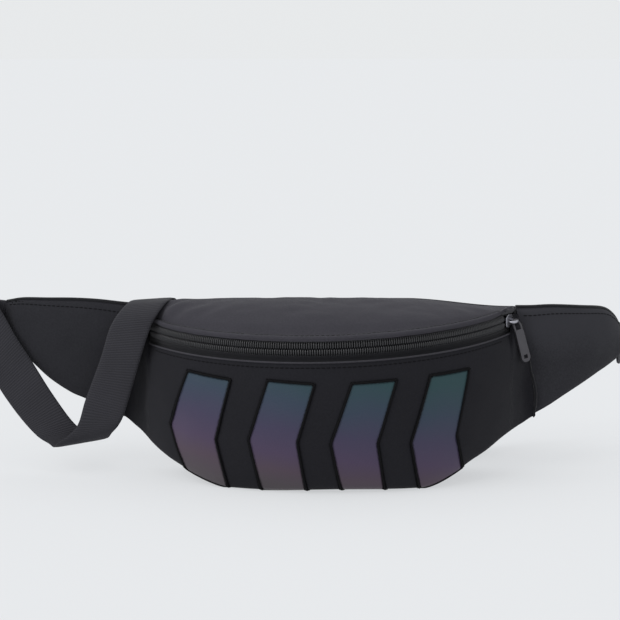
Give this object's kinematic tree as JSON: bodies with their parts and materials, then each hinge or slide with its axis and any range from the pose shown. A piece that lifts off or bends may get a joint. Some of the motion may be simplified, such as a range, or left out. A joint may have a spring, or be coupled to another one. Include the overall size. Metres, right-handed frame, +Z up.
{
  "type": "waist bag",
  "caption": "Half-moon fabric waist bag with a curved zip, applied chevron panels, tapering wings and a webbing belt with a side-release buckle.",
  "frame": {"origin": "centre of the bag's flat base, on the surface it stands on", "axes": "+X along the bag towards the zip slider's parked end, the front with the chevrons faces -Y, +Z up"},
  "size_m": [0.4496, 0.1728, 0.1195],
  "materials": {
    "shell_fabric": "matt woven polyester",
    "lining": "thin smooth taffeta",
    "foam": "closed-cell foam",
    "chevron_foil": "satin iridescent coated fabric, teal to violet to brown",
    "stitching": "satin stitch thread",
    "tape": "fine herringbone tape",
    "zip_coil": "nylon coil",
    "slider_metal": "dark nickel",
    "puller_enamel": "black enamel, satin",
    "webbing": "ribbed flat webbing",
    "buckle_plastic": "moulded acetal, satin"
  },
  "bodies": {
    "root": {"front_panel": "shell_fabric", "front_foam": "foam", "front_lining": "lining", "back_panel": "shell_fabric", "back_foam": "foam", "back_lining": "lining", "chevron_panel_1": "chevron_foil", "chevron_panel_2": "chevron_foil", "chevron_panel_3": "chevron_foil", "chevron_panel_4": "chevron_foil", "chevron_stitching_1": "stitching", "chevron_stitching_2": "stitching", "chevron_stitching_3": "stitching", "chevron_stitching_4": "stitching", "zip_tape_lower": "tape", "zip_coil_lower": "zip_coil", "zip_end_left": "zip_coil", "zip_end_right": "zip_coil", "seam_binding": "tape", "belt_left": "webbing", "belt_right": "webbing", "buckle_female": "buckle_plastic"},
    "lid": {"top_panel": "shell_fabric", "top_lining": "lining", "zip_tape_upper": "tape", "zip_coil_upper": "zip_coil"},
    "slider": {"zip_slider": "slider_metal", "slider_bail": "slider_metal"},
    "puller_tab": {"puller": "puller_enamel"},
    "wing_left": {"wing_left_front": "shell_fabric", "wing_left_foam": "foam", "wing_left_back": "shell_fabric"},
    "wing_right": {"wing_right_front": "shell_fabric", "wing_right_foam": "foam", "wing_right_back": "shell_fabric"},
    "buckle_plug": {"buckle_male": "buckle_plastic", "buckle_arm_front": "buckle_plastic", "buckle_arm_rear": "buckle_plastic", "belt_tail": "webbing"},
    "keeper": {"belt_keeper": "webbing"}
  },
  "joints": [
    {"name": "lid_open", "type": "hinge", "parent": "root", "child": "lid", "pos_m": [0, 0.038, 0.115], "axis": [-1, 0, 0], "range_deg": [0, 50], "deforming": ["belt_left"]},
    {"name": "zip_travel", "type": "hinge", "parent": "root", "child": "slider", "pos_m": [0, 0.09365, 0.10372], "axis": [-0.0288, -0.0715, 0.997], "range_deg": [-119.2, 0]},
    {"name": "puller_lift", "type": "hinge", "parent": "slider", "child": "puller_tab", "pos_m": [0.12381, 0.02092, 0.10208], "axis": [-0.5058, -0.8593, -0.0762], "range_deg": [0, 100]},
    {"name": "wing_left_fold", "type": "hinge", "parent": "root", "child": "wing_left", "pos_m": [-0.13105, 0.038, 0.0745], "axis": [-0.1772, 0, -0.9842], "range_deg": [0, 35], "stiffness_Nm_per_rad": 0.02, "deforming": ["belt_left"]},
    {"name": "wing_right_fold", "type": "hinge", "parent": "root", "child": "wing_right", "pos_m": [0.13105, 0.038, 0.0745], "axis": [-0.1772, 0, 0.9842], "range_deg": [0, 35], "stiffness_Nm_per_rad": 0.02, "deforming": ["belt_right"]},
    {"name": "buckle_release", "type": "slide", "parent": "root", "child": "buckle_plug", "axis": [1, 0, 0], "range_m": [0, 0.03], "deforming": ["belt_right", "buckle_arm_front", "buckle_arm_rear"]},
    {"name": "keeper_slide", "type": "slide", "parent": "buckle_plug", "child": "keeper", "axis": [1, 0, 0], "range_m": [0, 0.011]}
  ]
}
